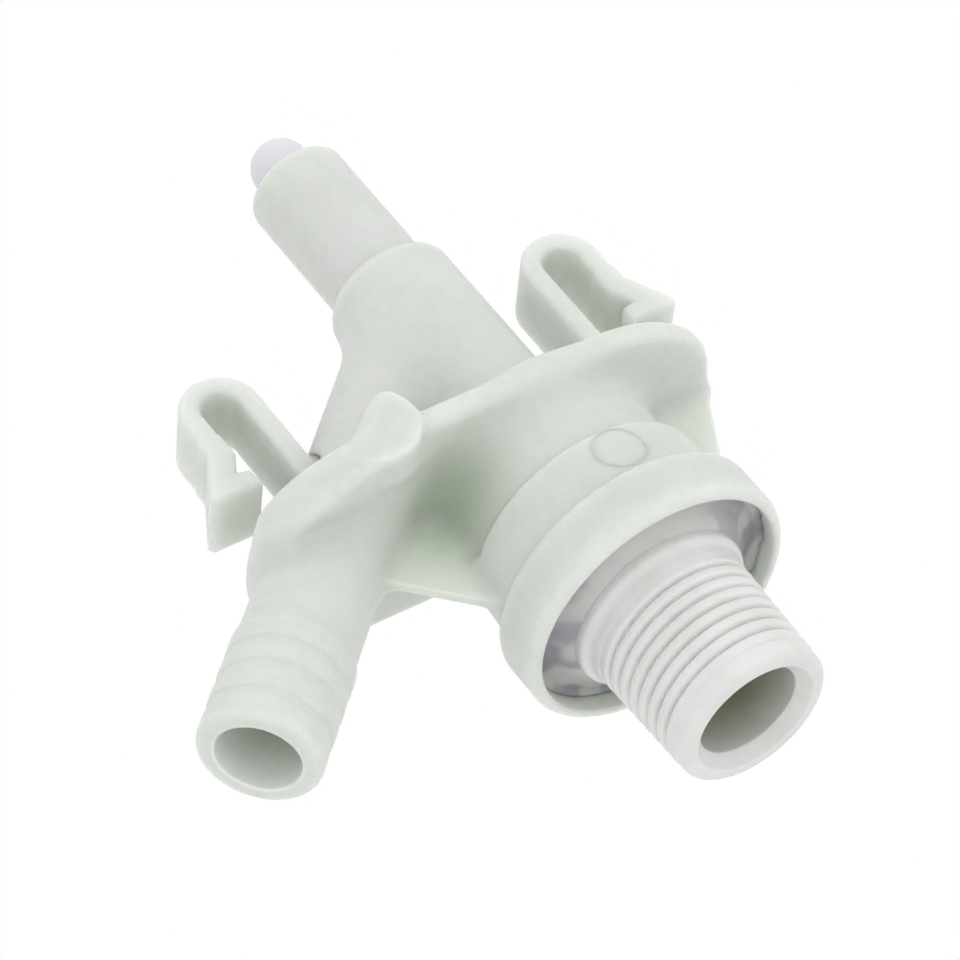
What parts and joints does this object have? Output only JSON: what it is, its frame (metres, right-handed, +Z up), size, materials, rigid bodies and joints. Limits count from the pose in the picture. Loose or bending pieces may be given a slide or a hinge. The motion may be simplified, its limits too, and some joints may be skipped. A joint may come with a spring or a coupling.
{
  "type": "push-stem water valve",
  "caption": "Moulded push-stem water valve with a threaded inlet, an angled hose outlet, a panel flange and snap clips.",
  "frame": {"origin": "on the inlet axis, in the plane of the flange's back face, which seats on the panel", "axes": "+X along the inlet axis towards the threaded inlet, +Y along the flange's short arm, away from the hose outlet, +Z up, square to the flats of the flange"},
  "size_m": [0.1079, 0.0857, 0.0362],
  "materials": {
    "body_plastic": "milky translucent green-white moulded plastic, satin",
    "fitting_plastic": "plain white moulded plastic, satin",
    "pin_plastic": "smooth white acetal with a faint lavender cast",
    "cement": "set solvent cement, uneven and glossy",
    "inner_plastic": "plain white acetal, satin",
    "seal_rubber": "smooth black nitrile rubber",
    "stainless_steel": "bright stainless steel"
  },
  "bodies": {
    "housing": {"valve_body": "body_plastic", "inlet_fitting": "fitting_plastic", "cement_fill": "cement", "inlet_o_ring": "seal_rubber", "strainer_frame": "inner_plastic", "strainer_mesh": "stainless_steel", "flow_control_washer": "seal_rubber", "spring_carrier": "inner_plastic", "closing_spring": "stainless_steel", "return_spring": "stainless_steel", "spring_washer": "stainless_steel", "seal_gland": "inner_plastic", "rear_stem_seal": "seal_rubber", "stem_seal_spacer": "inner_plastic", "front_stem_seal": "seal_rubber", "gland_retaining_ring": "stainless_steel", "stem_guide": "inner_plastic"},
    "push_pin": {"push_pin": "pin_plastic"},
    "poppet": {"poppet": "inner_plastic", "poppet_seal": "seal_rubber", "poppet_seal_retainer": "stainless_steel"},
    "left_clip_arm": {"left_clip_arm": "body_plastic"},
    "right_clip_arm": {"right_clip_arm": "body_plastic"}
  },
  "joints": [
    {"name": "push_pin_slide", "type": "slide", "parent": "housing", "child": "push_pin", "axis": [1, 0, 0], "range_m": [0, 0.004], "stiffness_N_per_m": 400, "springref_m": -0.006, "deforming": ["return_spring"]},
    {"name": "poppet_slide", "type": "slide", "parent": "housing", "child": "poppet", "axis": [1, 0, 0], "range_m": [0, 0.004], "stiffness_N_per_m": 150, "springref_m": -0.004, "deforming": ["closing_spring"]},
    {"name": "left_clip_flex", "type": "hinge", "parent": "housing", "child": "left_clip_arm", "pos_m": [-0.0244, -0.03058, 0], "axis": [0, 0, 1], "range_deg": [0, 13], "stiffness_Nm_per_rad": 0.2},
    {"name": "right_clip_flex", "type": "hinge", "parent": "housing", "child": "right_clip_arm", "pos_m": [-0.0244, 0.01893, 0], "axis": [0, 0, -1], "range_deg": [0, 13], "stiffness_Nm_per_rad": 0.2}
  ],
  "couplings": [
    {"joint": "poppet_slide", "follows": "push_pin_slide", "ratio": 1}
  ]
}
